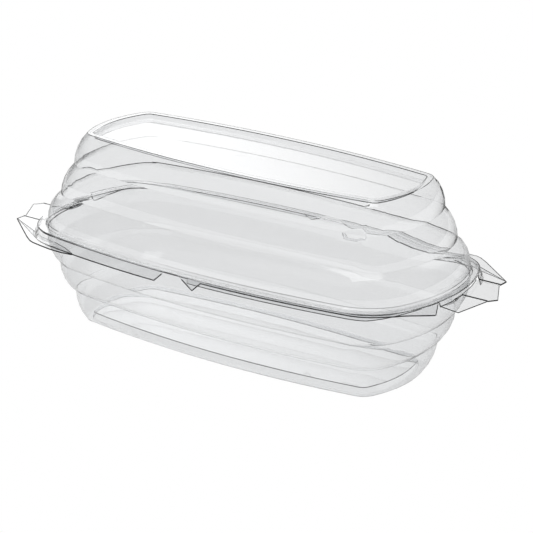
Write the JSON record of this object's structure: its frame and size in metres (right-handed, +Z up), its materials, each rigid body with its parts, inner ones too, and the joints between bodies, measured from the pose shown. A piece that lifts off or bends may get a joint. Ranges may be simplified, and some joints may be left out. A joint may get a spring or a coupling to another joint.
{
  "type": "plastic clamshell pack",
  "caption": "Clear plastic food pack: a long base with rounded ends and a lift-off lid, both with scalloped tiered walls, a ledge and corner pull tabs.",
  "frame": {"origin": "middle of the foot of the base, on the surface that the pack rests on", "axes": "+Z up, +X along the pack towards the end seen at the right, +Y away from the side seen in front"},
  "size_m": [0.264, 0.123, 0.0983],
  "materials": {
    "clear_sheet": "clear, glossy"
  },
  "bodies": {
    "base": {"base": "clear_sheet"},
    "lid": {"lid": "clear_sheet"}
  },
  "joints": [
    {"name": "lid_lift", "type": "slide", "parent": "base", "child": "lid", "axis": [0, 0, 1], "range_m": [0, 0.06]}
  ]
}
